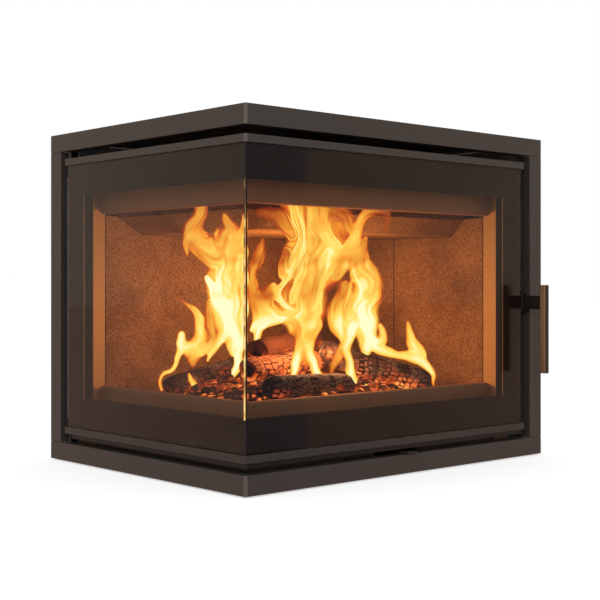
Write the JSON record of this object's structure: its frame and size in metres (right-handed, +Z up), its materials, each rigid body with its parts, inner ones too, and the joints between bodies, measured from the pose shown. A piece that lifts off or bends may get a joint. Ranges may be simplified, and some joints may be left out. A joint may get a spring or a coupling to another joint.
{
  "type": "corner fireplace",
  "caption": "Built-in corner fireplace with an L-shaped glass door on two faces, log fire, flue collar and rear air spigot.",
  "frame": {"origin": "centre of the overall footprint at the underside of the levelling feet", "axes": "+X runs right along the long glass face, +Y from that face to the back, +Z up; the glazed side faces -X"},
  "size_m": [0.622, 0.5408, 0.5493],
  "materials": {
    "trim_paint": "satin heat-resistant anthracite paint",
    "dark_paint": "matt black heat-resistant paint",
    "casing_steel": "galvanised sheet",
    "firebox_steel": "heat-browned grey paint",
    "vermiculite": "pressed vermiculite board, matt and speckled",
    "cast_iron": "raw cast iron",
    "glass": "clear ceramic glass with an opaque black-brown printed border",
    "rope_seal": "knitted glass rope",
    "satin_steel": "dark satin metal",
    "charred_wood": "charred, cracked bark and ash",
    "embers": "glowing charcoal"
  },
  "bodies": {
    "body": {"trim_top_bar": "trim_paint", "trim_bottom_bar": "trim_paint", "trim_hinge_post": "trim_paint", "trim_latch_post": "trim_paint", "trim_bracket_top": "dark_paint", "trim_bracket_bottom": "dark_paint", "levelling_foot_1": "dark_paint", "levelling_foot_2": "dark_paint", "levelling_foot_3": "dark_paint", "levelling_foot_4": "dark_paint", "ash_pan": "dark_paint", "air_valve_box": "dark_paint", "casing_base": "casing_steel", "casing_back": "casing_steel", "casing_right": "casing_steel", "casing_left": "casing_steel", "casing_top": "casing_steel", "air_duct": "casing_steel", "fresh_air_spigot": "casing_steel", "hinge_jamb": "firebox_steel", "latch_jamb": "firebox_steel", "firebox_back": "firebox_steel", "firebox_right": "firebox_steel", "firebox_floor": "firebox_steel", "firebox_top": "firebox_steel", "sill_rail": "firebox_steel", "header_rail": "firebox_steel", "upper_smoke_plate": "firebox_steel", "air_wash_deflector": "firebox_steel", "log_guard": "firebox_steel", "back_lining_left": "vermiculite", "back_lining_right": "vermiculite", "right_lining_front": "vermiculite", "right_lining_rear": "vermiculite", "hearth_slab_left": "vermiculite", "hearth_slab_right": "vermiculite", "baffle_plate": "vermiculite", "grate": "cast_iron", "flue_collar": "cast_iron", "hinge_bracket_top": "satin_steel", "hinge_bracket_bottom": "satin_steel", "latch_keeper": "satin_steel", "log_front": "charred_wood", "log_right": "charred_wood", "log_left": "charred_wood", "log_top": "charred_wood", "log_middle": "charred_wood", "ember_bed": "embers"},
    "door": {"door_top_rail": "trim_paint", "door_bottom_rail": "trim_paint", "hinge_stile": "dark_paint", "latch_stile": "dark_paint", "side_glass": "glass", "front_glass": "glass", "door_gasket": "rope_seal", "latch_bracket": "dark_paint"},
    "handle": {"handle_bar": "satin_steel", "handle_lever": "satin_steel"},
    "air_control": {"air_slide": "satin_steel", "air_lever": "satin_steel"}
  },
  "joints": [
    {"name": "door_hinge", "type": "hinge", "parent": "body", "child": "door", "pos_m": [-0.303, 0.21065, 0.252], "axis": [0, 0, -1], "range_deg": [0, 90]},
    {"name": "handle_latch", "type": "hinge", "parent": "door", "child": "handle", "pos_m": [0.273, -0.21835, 0.248], "axis": [0, 0, -1], "range_deg": [0, 15]},
    {"name": "air_lever_slide", "type": "slide", "parent": "body", "child": "air_control", "axis": [1, 0, 0], "range_m": [-0.02, 0.02]}
  ]
}
